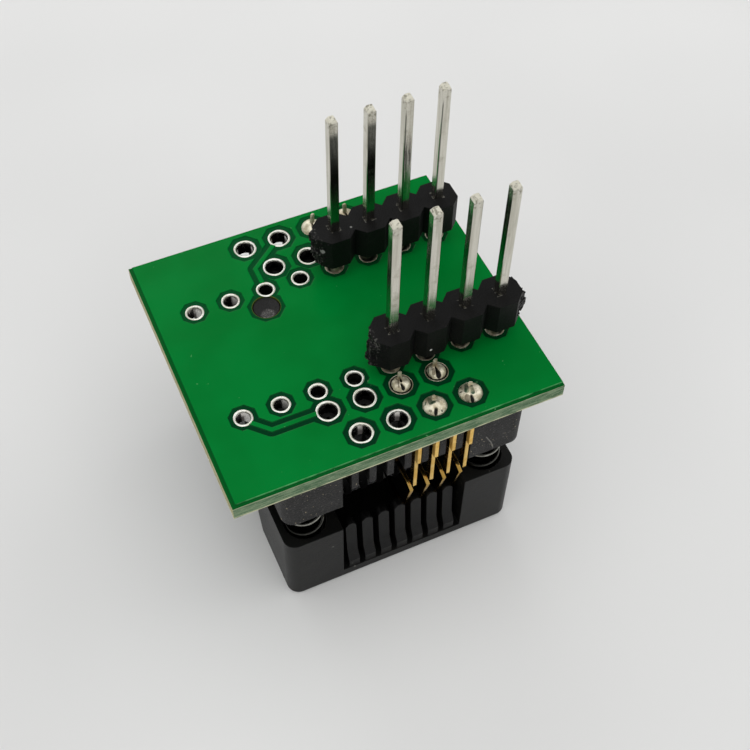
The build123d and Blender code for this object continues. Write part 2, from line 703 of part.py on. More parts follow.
def make_spring(x, y):
    """A compression spring between the cover's pocket and the base's."""
    seat = SPRING_SEAT_GAP + SPRING_WIRE / 2
    path = coil_path(COVER_POCKET_FLOOR + seat, BLOCK_UNDERSIDE + BASE_POCKET_DEPTH - seat)
    start = Plane(origin=path @ 0, z_dir=path % 0, x_dir=Vector(1, 0, 0))
    coil = sweep(start * Rectangle(SPRING_WIRE, SPRING_WIRE), path=path, transition=Transition.RIGHT)
    return place(coil.moved(Location((x, y, 0))))


def save(name, shape):
    """Writes one node; a list is a group of separate solids."""
    if isinstance(shape, list):
        shape = Compound(children=shape)
    export_step(shape, f"parts/{name}.step")
    print(name, len(shape.solids()), "solids")


def main():
    os.makedirs("parts", exist_ok=True)
    save("circuit_board", make_board())
    save("plated_holes", make_plated_holes())
    save("header_solder", make_header_solder())
    save("socket_solder", make_socket_solder())
    save("header_strip_front", make_header_strip(-1, TORN_FRONT_LEFT, TORN_FRONT_RIGHT))
    save("header_strip_back", make_header_strip(1, TORN_BACK_LEFT, []))
    number = 1
    for side in (-1, 1):
        for k in range(ROW_HOLES - PINS_PER_ROW, ROW_HOLES):
            save(f"header_pin_{number}", make_header_pin(header_x(k), side * HEADER_ROW_Y))
            number += 1
    save("socket_base", make_base())
    save("socket_cover", make_cover())
    number = 1
    for side in (-1, 1):
        for k in range(LOADED_FROM, SOCKET_POSITIONS):
            save(f"contact_{number}", make_contact(k, side))
            number += 1
    for number, (x, y) in enumerate(spring_places(), start=1):
        save(f"coil_spring_{number}", make_spring(x, y))


main()
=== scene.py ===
# %% [markdown]
# # An adapter board with an open-top test socket
# The real thing carries a small chip to a programmer: a socket with a spring-loaded
# cover is soldered under a green board, and two short rows of header pins stand on the
# board's other face. It lies upside down, on the cover, with the pins in the air.
# This lesson dresses the CAD model of it in Blender. First the frame is loaded, which
# brings every CAD node in metres, in the place where it belongs.

# %% Load the frame
import math
import bmesh
import bpy
from mathutils import Matrix, Vector, noise
from mathutils.bvhtree import BVHTree


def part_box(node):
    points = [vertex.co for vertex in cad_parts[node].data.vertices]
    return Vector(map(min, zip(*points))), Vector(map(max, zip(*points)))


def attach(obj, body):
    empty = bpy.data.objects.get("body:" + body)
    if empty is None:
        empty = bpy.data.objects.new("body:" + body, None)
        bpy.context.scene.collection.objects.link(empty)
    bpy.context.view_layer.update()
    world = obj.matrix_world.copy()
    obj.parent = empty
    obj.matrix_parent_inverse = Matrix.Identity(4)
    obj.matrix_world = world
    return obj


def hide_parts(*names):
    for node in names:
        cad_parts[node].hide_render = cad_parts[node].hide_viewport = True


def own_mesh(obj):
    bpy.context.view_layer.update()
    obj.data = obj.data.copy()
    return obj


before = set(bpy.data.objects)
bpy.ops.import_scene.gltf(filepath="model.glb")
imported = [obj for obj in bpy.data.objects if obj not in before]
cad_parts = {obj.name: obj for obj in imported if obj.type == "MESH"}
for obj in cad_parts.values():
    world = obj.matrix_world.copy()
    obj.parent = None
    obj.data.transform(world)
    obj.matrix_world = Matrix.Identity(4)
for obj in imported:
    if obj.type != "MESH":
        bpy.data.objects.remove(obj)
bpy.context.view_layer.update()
MM = 0.001

# %% [markdown]
# ## The sizes that everything else follows
# The board's hole pattern has a pitch of 2.54 mm. All sizes that a piece shares with the
# CAD model are read from the frame, so that nothing has to be fitted by eye.

# %% Read the main sizes from the frame
board_low, board_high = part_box("circuit_board")
cover_low, cover_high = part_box("socket_cover")
strip_low, strip_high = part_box("header_strip_front")
first_pin_low, first_pin_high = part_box("header_pin_1")
BOARD_TOP = board_high.z
BOARD_BOTTOM = board_low.z
PAD_FLOOR = BOARD_TOP - 0.05 * MM
SOCKET_X = (cover_low.x + cover_high.x) / 2
SOCKET_Y = (cover_low.y + cover_high.y) / 2
PITCH = 2.54 * MM
middle = [round(value / MM, 2) for value in (SOCKET_X, SOCKET_Y)]
print("board top", round(BOARD_TOP / MM, 2), "socket centre", middle)

# %% [markdown]
# ## The camera
# The photograph looks down from the front left. A camera fitted to the board's holes and
# pins gives its place, its turn about the vertical, its tilt down and a slight roll.

# %% Place the camera
CAMERA_PLACE = Vector((-18.705, -45.295, 80.12)) * MM
CAMERA_AZIMUTH = math.radians(-25.29)
CAMERA_ELEVATION = math.radians(54.22)
CAMERA_ROLL = math.radians(1.30)


def make_camera():
    """A camera at the photograph's place, with the photograph's field of view."""
    data = bpy.data.cameras.new("photo_camera")
    data.lens = 57.2
    data.sensor_width = 36.0
    data.clip_start = 0.001
    camera = bpy.data.objects.new("photo_camera", data)
    tilt = Matrix.Rotation(math.pi / 2 - CAMERA_ELEVATION, 4, "X")
    turn = Matrix.Rotation(CAMERA_AZIMUTH, 4, "Z")
    roll = Matrix.Rotation(CAMERA_ROLL, 4, "Z")
    camera.matrix_world = Matrix.Translation(CAMERA_PLACE) @ turn @ tilt @ roll
    bpy.context.scene.collection.objects.link(camera)
    bpy.context.scene.camera = camera
    return camera


camera = make_camera()
print("camera at", [round(v / MM, 1) for v in camera.matrix_world.translation])

# %% [markdown]
# ## Materials from expressions
# A material here is a small formula: a mask says where a colour goes, and the mask is
# arithmetic on the place of a point. Wrapping a node's output in a class with operators
# lets that arithmetic be written as it would be on paper, and each operator adds one
# Math node. Everything else goes through one method that adds a node of any type.

# %% Wrap a socket so that sums on it add Math nodes


def light_levels(colour):
    """A colour as a screen shows it, 0 to 255, turned into light levels."""
    levels = []
    for value in colour:
        share = value / 255
        levels.append(share / 12.92 if share <= 0.04045 else ((share + 0.055) / 1.055) ** 2.4)
    return levels


class Field:
    """A number, colour or vector that changes over a surface."""

    def __init__(self, paint, socket):
        self.paint = paint
        self.socket = socket

    def math(self, operation, *others):
        inputs = dict(enumerate((self,) + others))
        return self.paint.add("ShaderNodeMath", {"operation": operation}, inputs)

    def __add__(self, other):
        return self.math("ADD", other)

    __radd__ = __add__

    def __mul__(self, other):
        return self.math("MULTIPLY", other)

    __rmul__ = __mul__

    def __sub__(self, other):
        return self.math("SUBTRACT", other)

    def __rsub__(self, other):
        return (self * -1) + other

    def __abs__(self):
        return self.math("ABSOLUTE")

    def low(self, other):
        return self.math("MINIMUM", other)

    def high(self, other):
        return self.math("MAXIMUM", other)

    def rise(self, start, end):
        """0 before start, 1 after end, and smooth between them."""
        settings = {"interpolation_type": "SMOOTHSTEP"}
        inputs = {"Value": self, "From Min": start, "From Max": end}
        return self.paint.add("ShaderNodeMapRange", settings, inputs)


class Paint:
    """One material, with the few moves that its formula needs."""

    def __init__(self, name, slot, **sockets):
        self.material = bpy.data.materials.new(name)
        self.material.use_nodes = True
        self.tree = self.material.node_tree
        self.shader = self.tree.nodes["Principled BSDF"]
        self.slot = slot
        self.set(**sockets)
        # The point's place on the piece, in millimetres: as one vector and as three fields
        spot = self.add("ShaderNodeTexCoord", output="Object")
        self.spot = self.add("ShaderNodeVectorMath", {"operation": "SCALE"}, {0: spot, "Scale": 1 / MM})
        self.place = [self.add("ShaderNodeSeparateXYZ", None, {0: self.spot}, i) for i in range(3)]

    def add(self, kind, settings=None, inputs=None, output=0):
        """Adds a node: its settings first, then the values or links of its sockets."""
        node = self.tree.nodes.new(kind)
        for key, value in (settings or {}).items():
            setattr(node, key, value)
        for key, value in (inputs or {}).items():
            self.feed(node.inputs[key], value)
        return Field(self, node.outputs[output])

    def feed(self, socket, value):
        if isinstance(value, Field):
            self.tree.links.new(value.socket, socket)
        elif socket.type == "RGBA":
            socket.default_value = (*light_levels(value), 1.0)
        else:
            socket.default_value = value

    def set(self, **sockets):
        """Sets the shader's own sockets, such as Base_Color or Roughness."""
        for key, value in sockets.items():
            self.feed(self.shader.inputs[key.replace("_", " ")], value)

    def near(self, centre, radius):
        """1 inside a small ball round a point, 0 outside, with a soft edge; millimetres."""
        dx, dy, dz = [value - middle for value, middle in zip(self.place, centre)]
        return 1 - (dx * dx + dy * dy + dz * dz).math("SQRT").rise(radius * 0.6, radius)

    def grain(self, scale, detail=3.0, stretch=(1, 1, 1)):
        """Noise from 0 to 1, with features of about 1/scale millimetres."""
        moved = self.add("ShaderNodeVectorMath", {"operation": "MULTIPLY"}, {0: self.spot, 1: stretch})
        inputs = {"Vector": moved, "Scale": scale, "Detail": detail}
        return self.add("ShaderNodeTexNoise", None, inputs)

    def mix(self, mask, first, second):
        """first where the mask is 0, second where it is 1."""
        return self.add("ShaderNodeMix", {"data_type": "RGBA"}, {0: mask, 6: first, 7: second}, 2)

    def bump(self, height, depth):
        """Tilts the surface as if height times depth, in millimetres, were cut in it."""
        inputs = {"Height": height, "Distance": depth * MM, "Strength": 1.0}
        self.set(Normal=self.add("ShaderNodeBump", None, inputs))


print("a mid grey is", [round(v, 3) for v in light_levels((128, 128, 128))])

# %% [markdown]
# ## The floor and the light
# The photograph was taken on a pale sheet under wide overhead light, a little from the
# back right: the shadows are soft and fall to the front left. A pale sky gives the fill
# and three soft lamps give the direction. One part of the sky is dim, so that metal has
# something dark to mirror. The floor's own colour makes the pale background, so that no
# lamp has to burn it out.

# %% Lay the floor
FLOOR_SIZE = 1.2


def make_floor():
    """A wide pale floor under the object."""
    bpy.ops.mesh.primitive_plane_add(size=FLOOR_SIZE, location=(0, 0, 0))
    floor = bpy.context.object
    floor.name = "floor"
    paint = Paint("pale_sheet", None, Roughness=0.7)
    cloud = paint.grain(0.02, 2.0)
    paint.set(Base_Color=paint.mix(cloud.rise(0.3, 0.7), (224, 224, 223), (231, 231, 230)))
    floor.data.materials.append(paint.material)
    return floor


make_floor()
print("floor is", FLOOR_SIZE, "m wide")

# %% Hang the lamps and set the sky
SKY = 0.80
DARK_WAY = (0.25, 0.54, 0.80)
DARK_FROM, DARK_TO, DARK_LEVEL = 0.62, 0.9, 0.3
LAMPS = [
    ("overhead", (0.0, 0.0, 0.40), 0.40, 0.43),
    ("back", (0.0, 0.34, 0.22), 0.30, 0.30),
    ("right", (0.32, 0.0, 0.24), 0.30, 0.16),
]


def make_lamp(name, place, size, power):
    """One round soft lamp that points at the object."""
    data = bpy.data.lights.new(name, "AREA")
    data.shape = "DISK"
    data.size = size
    data.energy = power
    lamp = bpy.data.objects.new(name, data)
    lamp.location = place
    lamp.rotation_euler = (-Vector(place)).to_track_quat("-Z", "Y").to_euler()
    bpy.context.scene.collection.objects.link(lamp)
    return lamp


def make_light():
    """A pale sky with one dim side, and the soft lamps."""
    world = bpy.data.worlds.new("studio")
    world.use_nodes = True
    tree = world.node_tree
    sky = tree.nodes["Background"]
    sky.inputs["Strength"].default_value = SKY
    spot = tree.nodes.new("ShaderNodeTexCoord")
    near = tree.nodes.new("ShaderNodeVectorMath")
    near.operation = "DOT_PRODUCT"
    near.inputs[1].default_value = DARK_WAY
    shade = tree.nodes.new("ShaderNodeMapRange")
    shade.interpolation_type = "SMOOTHSTEP"
    limits = {"From Min": DARK_FROM, "From Max": DARK_TO, "To Min": 1.0, "To Max": DARK_LEVEL}
    for key, value in limits.items():
        shade.inputs[key].default_value = value
    tree.links.new(spot.outputs["Generated"], near.inputs[0])
    tree.links.new(near.outputs["Value"], shade.inputs["Value"])
    tree.links.new(shade.outputs["Result"], sky.inputs["Color"])
    bpy.context.scene.world = world
    return [make_lamp(*lamp) for lamp in LAMPS]


make_light()
bpy.context.scene.view_settings.view_transform = "Standard"
print("the sky and the lamps are up")

# %% [markdown]
# ## The hole pattern
# Every mask on the board starts from the same six rows of holes. In each row the holes
# are 2.54 mm apart, and the right half of them is in use. Writing a row down once, with
# its hole, pad and gap in the copper, serves the paint and the metal alike.

# %% Write down the rows of holes


class Row:
    """A row of holes along X: given in millimetres from the socket's middle, kept in metres."""

    def __init__(self, y, first_x, count, hole_r, pad_r, gap_r):
        self.inner = abs(y) < 7
        self.y = SOCKET_Y + y * MM
        self.first_x = SOCKET_X + first_x * MM
        self.count = count
        self.hole_r = hole_r * MM
        self.pad_r = pad_r * MM
        self.gap_r = gap_r * MM

    def places(self):
        """(x, y, used) of each hole."""
        return [(self.first_x + i * PITCH, self.y, 2 * i >= self.count) for i in range(self.count)]


HEADER_Y = 4.61
HEADER_ROWS = [Row(side * HEADER_Y, -3.75 * 2.54, 8, 0.51, 0.65, 0.98) for side in (-1, 1)]
SOCKET_STARTS = [(-6.26, -4.445), (-8.61, -3.175), (6.26, -3.175), (8.61, -4.445)]
SOCKET_ROWS = [Row(y, first_x, 4, 0.65, 0.79, 1.2) for y, first_x in SOCKET_STARTS]
# The location peg that shows in the board, in millimetres
PEG_X, PEG_Y = SOCKET_X / MM - 4.95, SOCKET_Y / MM + 3.17


def along_row(x, row=HEADER_ROWS[0]):
    """The number of a row's nearest hole, and the way to the right of it, in millimetres."""
    start, pitch = row.first_x / MM, PITCH / MM
    number = ((x - start) * (1 / pitch)).math("ROUND").high(0).low(row.count - 1)
    return number, x - start - number * pitch


def from_middle(y):
    """The distance in front of or behind the socket's middle, in millimetres."""
    return abs(y - SOCKET_Y / MM)


print("holes:", sum(len(row.places()) for row in HEADER_ROWS + SOCKET_ROWS))

# %% [markdown]
# ## The board's paint
# A green mask covers copper almost everywhere. Where the copper stops, round each hole,
# beside the two tracks and along the edges, the mask lies a little lower and looks dark.
# The CAD solid has those steps already. A distance to the nearest gap, worked out from
# the rows, gives their colour sharp edges at any zoom. The cut edges of the board show
# the sage and cream layers of glass cloth.

# %% Measure the distance to the nearest gap in the copper
OCTAGON_FLAT = math.cos(math.pi / 8)
TRACK_HALF = 0.16
TRACK_MOAT_HALF = 0.52
BARE_BAND = 0.27
PEG_GAP_R = 1.3


def octagon(across, along):
    """The half width of the octagon, flats to the axes, whose edge a point lies on."""
    return across.high(along).high((across + along) * math.sqrt(0.5))


def row_gap(x, y, row):
    """How far a point is outside the octagons of one row, in millimetres."""
    across, along = abs(along_row(x, row)[1]), abs(y - row.y / MM)
    return octagon(across, along) - row.gap_r / MM * OCTAGON_FLAT


def run_distance(x, y, start, end):
    """Distance from a straight run, in millimetres."""
    run = Vector(end) - Vector(start)
    length = run.length
    ux, uy = run / length
    forward = ((x - start[0]) * ux + (y - start[1]) * uy).high(0).low(length)
    dx = x - start[0] - forward * ux
    dy = y - start[1] - forward * uy
    return (dx * dx + dy * dy).math("SQRT")


def track_points():
    """The two tracks' corners, in millimetres, as the CAD model has them."""
    sx, sy = SOCKET_X / MM, SOCKET_Y / MM
    front = [(-9.525, -4.84), (-8.195, -6.17), (-4.445, -6.17)]
    back = [(-4.445, HEADER_Y), (-4.445, 6.58), (-1.905, 8.61)]
    return [[(x + sx, y + sy) for x, y in track] for track in (front, back)]


print("tracks:", [[(round(x, 2), round(y, 2)) for x, y in run] for run in track_points()])

# %% Paint the board


def copper_edge(x, y):
    """Distance into the copper: below 0 in a gap, above 0 where the copper is whole."""
    gap = row_gap(x, y, HEADER_ROWS[0])
    for row in HEADER_ROWS[1:] + SOCKET_ROWS:
        gap = gap.low(row_gap(x, y, row))
    gap = gap.low(octagon(abs(x - PEG_X), abs(y - PEG_Y)) - PEG_GAP_R * OCTAGON_FLAT)
    for points in track_points():
        track = run_distance(x, y, points[0], points[1])
        track = track.low(run_distance(x, y, points[1], points[2]))
        gap = gap.low(track - TRACK_MOAT_HALF).high(TRACK_HALF - track)
    return gap.low(x - board_low.x / MM - BARE_BAND).low(y - board_low.y / MM - BARE_BAND)


def cloth_colour(paint, x, z):
    """The cut edge: sage and cream layers between two thin skins of mask."""
    layer = paint.grain(1.1, 4.0, stretch=(1, 1, 7))
    thread = paint.grain(8.0, 2.0, stretch=(1, 1, 3))
    sage = paint.mix(layer.rise(0.35, 0.65), (84, 112, 84), (124, 146, 116))
    tan = paint.mix(layer.rise(0.35, 0.65), (150, 146, 108), (190, 186, 150))
    cloth = paint.mix(x.rise(board_low.x / MM, board_low.x / MM + 0.05), tan, sage)
    cloth = paint.mix(thread.rise(0.6, 0.75) * 0.55, cloth, (206, 202, 172))
    middle = (BOARD_TOP + BOARD_BOTTOM) / 2 / MM
    height = abs(z - middle)
    lower = 1 - (z - middle).rise(-0.1, 0.1) * 0.55
    bare = height.rise(0.42, 0.48) * layer.rise(0.3, 0.5) * lower
    cloth = paint.mix(bare, cloth, (204, 204, 170))
    return paint.mix((z - middle).rise(0.5, 0.53), cloth, (40, 120, 62))


def board_paint():
    """Green mask on top and below, bare glass cloth on the cut edges."""
    paint = Paint("green_mask", "laminate", Specular_IOR_Level=0.045)
    x, y, z = paint.place
    edge = copper_edge(x, y)
    cloud = paint.grain(0.22, 2.0).rise(0.3, 0.7)
    green = paint.mix(cloud, (0, 113, 42), (0, 122, 48))
    teal = paint.mix(y.rise(-9.0, 9.0), (0, 52, 26), (0, 74, 34))
    band = (x - board_low.x / MM - BARE_BAND).low(y - board_low.y / MM - BARE_BAND)
    teal = paint.mix(1 - band.rise(-0.03, 0.0), teal, (0, 84, 30))
    top = paint.mix(edge.rise(-0.05, 0.05), teal, green)
    # Painted highlight: a light line along the front edge of the copper pour
    front = y - board_low.y / MM - BARE_BAND
    line = front.rise(-0.05, 0.0) * (1 - front.rise(0.0, 0.05))
    line = line * (x - board_low.x / MM).rise(0.3, 0.5)
    top = paint.mix(line * paint.grain(1.1, 2.0).rise(0.3, 0.7), top, (96, 176, 110))
    speck = paint.grain(2.4, 1.0).rise(0.78, 0.82)
    top = paint.mix(speck * 0.3, top, (120, 190, 130))
    ring = paint.near((PEG_X, PEG_Y, BOARD_TOP / MM), 1.06).rise(0.02, 0.2)
    top = paint.mix(ring * 0.8, top, (112, 108, 46))
    side = (abs(x) - board_high.x / MM + 0.02).high(abs(y) - board_high.y / MM + 0.02)
    cut = side.rise(0.0, 0.01)
    colour = paint.mix(cut, top, cloth_colour(paint, x, z))
    paint.set(Base_Color=colour, Roughness=cut * 0.5 + 0.24)
    ripple = paint.grain(0.5, 2.0)
    thread = paint.grain(7.0, 2.0, stretch=(1, 1, 3))
    height = edge.rise(-0.06, 0.06) * 0.6 + ripple * 0.5 + paint.grain(9.0, 2.0) * 0.05
    paint.bump(height * (1 - cut) + cut * thread, 0.05)
    return paint


def dress_node(name, paint):
    """Gives a CAD node a finish in place of its plain colour."""
    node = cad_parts[name]
    node.data.materials.clear()
    node.data.materials.append(paint.material)
    for polygon in node.data.polygons:
        polygon.material_index = 0
    return node


green_mask = board_paint()
dress_node("circuit_board", green_mask)
print("board paint has", len(green_mask.tree.nodes), "nodes")

# %% [markdown]
# ## Building meshes
# One helper serves each way of making the small metal pieces: a profile spun about an
# upright axis, or a ring of points carried along a path. Writing the faces with bmesh
# keeps every piece a closed shape of quads.

# %% Make the mesh helpers


def finish_mesh(name, mesh, paint, body, replaced=(), smooth=40):
    """Turns a bmesh into a piece with a finish that rides on a body."""
    bmesh.ops.recalc_face_normals(mesh, faces=mesh.faces)
    data = bpy.data.meshes.new(name)
    mesh.to_mesh(data)
    mesh.free()
    data.materials.append(paint.material)
    piece = bpy.data.objects.new(name, data)
    bpy.context.scene.collection.objects.link(piece)
    data.shade_smooth()
    data.set_sharp_from_angle(angle=math.radians(smooth))
    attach(piece, body)
    if replaced:
        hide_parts(*replaced)
    return piece


def circle(sides):
    """The cosine and sine at each corner of a round outline."""
    angles = [2 * math.pi * i / sides for i in range(sides)]
    return [(math.cos(angle), math.sin(angle)) for angle in angles]


def spin(mesh, centre, profile, sides, wobble=None):
    """Spins (radius, height) points about an upright axis; a wobble may move each point."""
    rings = []
    for radius, height in profile:
        ring = []
        for cos, sin in circle(sides):
            point = Vector((centre.x + radius * cos, centre.y + radius * sin, height))
            ring.append(mesh.verts.new(wobble(point, radius) if wobble else point))
        rings.append(ring)
    skin(mesh, rings)
    return rings


def skin(mesh, rings):
    """Quads between each ring of points and the next."""
    for lower, upper in zip(rings, rings[1:]):
        for i in range(len(lower)):
            j = (i + 1) % len(lower)
            mesh.faces.new((lower[i], lower[j], upper[j], upper[i]))


def cap(mesh, *rings):
    """Closes the end of each ring of points."""
    for ring in rings:
        mesh.faces.new(ring)


def tube(mesh, points, radius, sides=8):
    """A round wire along a list of points."""
    rings = []
    side = Vector((0, 0, 1))
    for i, point in enumerate(points):
        ahead = (points[min(i + 1, len(points) - 1)] - points[max(i - 1, 0)]).normalized()
        across = ahead.cross(side).normalized()
        up = across.cross(ahead).normalized()
        ring = []
        for cos, sin in circle(sides):
            ring.append(mesh.verts.new(point + (across * cos + up * sin) * radius))
        rings.append(ring)
    skin(mesh, rings)
    cap(mesh, rings[0], rings[-1])


print("helpers: circle, spin, skin, cap, tube")

# %% [markdown]
# ## Plated holes
# An empty hole is lined with copper and dipped in solder, so its rim is a narrow bright
# ring, a little domed and uneven, and its wall is a dull mirror. A torus would give the
# rim alone. Spinning one profile gives the rim and the wall as one skin, and a wobble
# that grows from noise makes each ring slightly different. In the two leftmost holes of
# each header row light falls on the right side of the wall, which is painted brighter.

# %% Make the plated holes
RING_SIDES = 48
PLATE = 0.04 * MM
LIP = 0.16 * MM
RIM_STEPS = 8


def tin_paint():
    """Bright solder plating, cream where it catches the light."""
    paint = Paint("solder_plating", "tinned_copper", Metallic=1.0)
    x, y, z = paint.place
    cloud = paint.grain(1.6, 3.0)
    rim = (z - PAD_FLOOR / MM).rise(-0.16, -0.1)
    bright = paint.mix(cloud.rise(0.35, 0.65), (226, 224, 210), (248, 247, 240))
    # Painted shade: the wall darkens towards the bottom of the hole
    depth = (z - PAD_FLOOR / MM).rise(-0.75, -0.2)
    wall = paint.mix(cloud.rise(0.4, 0.6), (140, 136, 132), (200, 196, 192))
    wall = paint.mix(depth, (70, 66, 64), wall)
    number, across = along_row(x)
    in_row = 1 - abs(from_middle(y) - HEADER_Y).rise(0.7, 0.8)
    lit = across.rise(0.12, 0.3) * in_row * (1 - number.rise(1.2, 1.4)) * (1 - rim)
    wall = paint.mix(lit * (0.6 + cloud * 0.4), wall, (236, 234, 230))
    paint.set(Base_Color=paint.mix(rim, wall, bright))
    paint.set(Roughness=rim * 0.3 + 0.1, Metallic=1 - lit * 0.8)
    paint.bump(cloud + paint.grain(7.0, 2.0) * 0.3, 0.015)
    return paint


def ring_profile(hole_r, pad_r):
    """Outer rim, domed ring and wall of a plated hole, as (radius, height) points."""
    middle = (hole_r - PLATE + pad_r) / 2
    half = (pad_r - hole_r + PLATE) / 2
    points = []
    for i in range(RIM_STEPS + 1):
        angle = math.pi * i / RIM_STEPS
        outer = PLATE * math.sin(angle)
        lift = outer if i <= RIM_STEPS // 2 else PLATE - LIP * (1 - math.sin(angle))
        points.append((middle + half * math.cos(angle), PAD_FLOOR + lift))
    wall = hole_r - PLATE
    points += [(wall, BOARD_BOTTOM), (hole_r, BOARD_BOTTOM), (hole_r, PAD_FLOOR)]
    return points + [points[0]]


def ring_wobble(centre, pad_r):
    """Moves the ring's rim in and out by a few hundredths of a millimetre."""
    def wobble(point, radius):
        away = Vector((point.x - centre.x, point.y - centre.y, 0)).normalized()
        push = noise.noise(point / MM * 1.7 + Vector((3.1, 0, 0))) * 0.035 * MM
        share = max(0.0, (radius - pad_r * 0.8) / (pad_r * 0.2))
        return point + away * push * share
    return wobble


def make_plated_holes(paint):
    """All the empty holes' plating, as one piece."""
    mesh = bmesh.new()
    for row in HEADER_ROWS + SOCKET_ROWS:
        for x, y, used in row.places():
            if not used:
                centre = Vector((x, y, 0))
                profile = ring_profile(row.hole_r, row.pad_r)
                spin(mesh, centre, profile, RING_SIDES, ring_wobble(centre, row.pad_r))
    bmesh.ops.remove_doubles(mesh, verts=mesh.verts, dist=0.001 * MM)
    return finish_mesh("plating", mesh, paint, "adapter", ["plated_holes"])


plating = make_plated_holes(tin_paint())
print("plating has", len(plating.data.polygons), "faces")

# %% [markdown]
# ## Solder
# Each used socket hole ends in a cream mound of solder, with the contact's tail standing
# at its back. In the inner rows the mound leaves a dark gap inside the pad, and a bright
# line runs round the pad's rim; in the outer rows the solder covers the whole pad. Black
# painted shade in the hollows, dull patches and painted dark green reflections break the
# surface, and noise wouldn't put them where the real joints have them. So they are
# written down as strokes, which a brush lays on a dense mesh: a start, an end and a
# width at each, in millimetres from the hole's centre.

# %% Write down the marks on each joint
STROKES = {
    "front_1": [
        ("pit", (0.06, 0.33), (-0.02, -0.02), 0.02, 0.08),
        ("pit", (-0.10, -0.19), (-0.06, -0.45), 0.05, 0.12),
        ("dull", (-0.12, 0.22), (-0.30, -0.30), 0.05, 0.06),
    ],
    "front_2": [
        ("pit", (-0.03, 0.26), (-0.08, -0.44), 0.01, 0.17),
        ("dull", (-0.24, 0.05), (-0.34, -0.24), 0.08, 0.11),
        ("shade", (-0.42, 0.42), (-0.58, 0.02), 0.03, 0.03),
    ],
    "front_3": [
        ("pit", (-0.15, -0.46), (-0.24, -0.62), 0.10, 0.12),
        ("pit", (0.18, -0.63), (0.20, -0.64), 0.05, 0.05),
        ("dull", (-0.54, -0.34), (-0.48, -0.42), 0.05, 0.07),
        ("shade", (-0.22, 0.40), (-0.27, 0.06), 0.13, 0.15),
        ("shade", (-0.27, 0.06), (-0.08, 0.02), 0.15, 0.12),
        ("shade", (-0.50, 0.30), (-0.62, 0.16), 0.05, 0.04),
    ],
    "front_4": [
        ("pit", (-0.17, -0.40), (-0.20, -0.66), 0.06, 0.13),
        ("dull", (-0.46, -0.38), (-0.42, -0.46), 0.17, 0.18),
        ("shade", (-0.13, 0.46), (-0.30, 0.0), 0.10, 0.17),
        ("shade", (0.14, 0.22), (0.0, -0.24), 0.08, 0.15),
        ("pit", (-0.50, 0.50), (-0.42, 0.56), 0.05, 0.04),
        ("pit", (-0.66, 0.20), (-0.60, 0.16), 0.05, 0.05),
    ],
    "back": [
        ("pit", (0.0, -0.05), (0.05, -0.6), 0.04, 0.09),
        ("dull", (0.0, 0.3), (-0.1, -0.4), 0.06, 0.09),
    ],
}
# Each tail's place from the hole's centre, and its height, in millimetres
TAILS = {
    "front_1": (0.04, 0.34, 0.95), "front_2": (-0.04, 0.34, 0.92), "front_3": (0.08, 0.38, 0.56),
    "front_4": (0.16, 0.44, 0.48), "back": (0.02, 0.10, 1.25),
}
MARKS = ("pit", "dull", "shade")
print("joints with marks of their own:", sorted(STROKES))

# %% Paint the solder


def mark_layers(mesh):
    """The mesh layers that hold how strong each kind of mark is."""
    return {kind: mesh.verts.layers.float.new(kind) for kind in MARKS}


def solder_paint():
    """Bright solder, cream with dull patches, with painted dark green reflections and black painted
    shade in its pits.
    """
    paint = Paint("solder_skin", "solder", Metallic=0.8)
    cloud = paint.grain(2.2, 3.0)
    fine = paint.grain(7.0, 2.0)
    marks = {}
    for kind in MARKS:
        marks[kind] = paint.add("ShaderNodeAttribute", {"attribute_name": kind}, output="Fac")
    cream = paint.mix(cloud.rise(0.35, 0.68), (186, 176, 148), (242, 236, 214))
    cream = paint.mix(fine.rise(0.58, 0.7) * 0.5, cream, (120, 110, 86))
    cream = paint.mix(marks["dull"] * (0.6 + fine * 0.4), cream, (104, 94, 74))
    # Painted reflection: dark green where the solder mirrors the board
    shade = marks["shade"] * (0.5 + cloud.rise(0.38, 0.6) * 0.45)
    cream = paint.mix(shade, cream, (18, 66, 38))
    # Painted shade: the pits are near-black; the gap round the mound gets the same colour, and on the
    # fillets the same mark is a painted reflection of the black strip
    colour = paint.mix(marks["pit"], cream, (10, 9, 7))
    paint.set(Base_Color=colour, Roughness=0.36 + cloud * 0.2)
    paint.bump(cloud + fine * 0.35, 0.05)
    return paint


solder_skin = solder_paint()
print("solder paint has", len(solder_skin.tree.nodes), "nodes")

# %% Shape a joint
DOME_SIDES = 112
DOME_RINGS = 30
DOME_TALL = 0.44 * MM
RIM_WIDE = 0.06 * MM
TAIL_SIDES = 12
BRUSH_EDGE = 0.035


def stroke_cover(px, py, stroke):
    """How much of a point a brush stroke covers, from 0 to 1; millimetres."""
    kind, start, end, start_width, end_width = stroke
    run_x, run_y = end[0] - start[0], end[1] - start[1]
    share = ((px - start[0]) * run_x + (py - start[1]) * run_y) / (run_x ** 2 + run_y ** 2)
    share = max(0.0, min(1.0, share))
    away = math.hypot(px - start[0] - share * run_x, py - start[1] - share * run_y)
    width = start_width + (end_width - start_width) * share
    return max(0.0, min(1.0, (width - away) / BRUSH_EDGE + 0.5))


def mound_height(radius, mound_r, pad_r):
    """Height over the pad at a radius: the mound, the gap beside it and the pad's rim."""
    if radius < mound_r:
        return DOME_TALL * (1 - (radius / mound_r) ** 2) ** 0.6
    rim = (pad_r - radius) / RIM_WIDE
    return 0.05 * MM * math.sqrt(max(0.0, 1 - (2 * rim - 1) ** 2)) if rim < 1 else 0.0


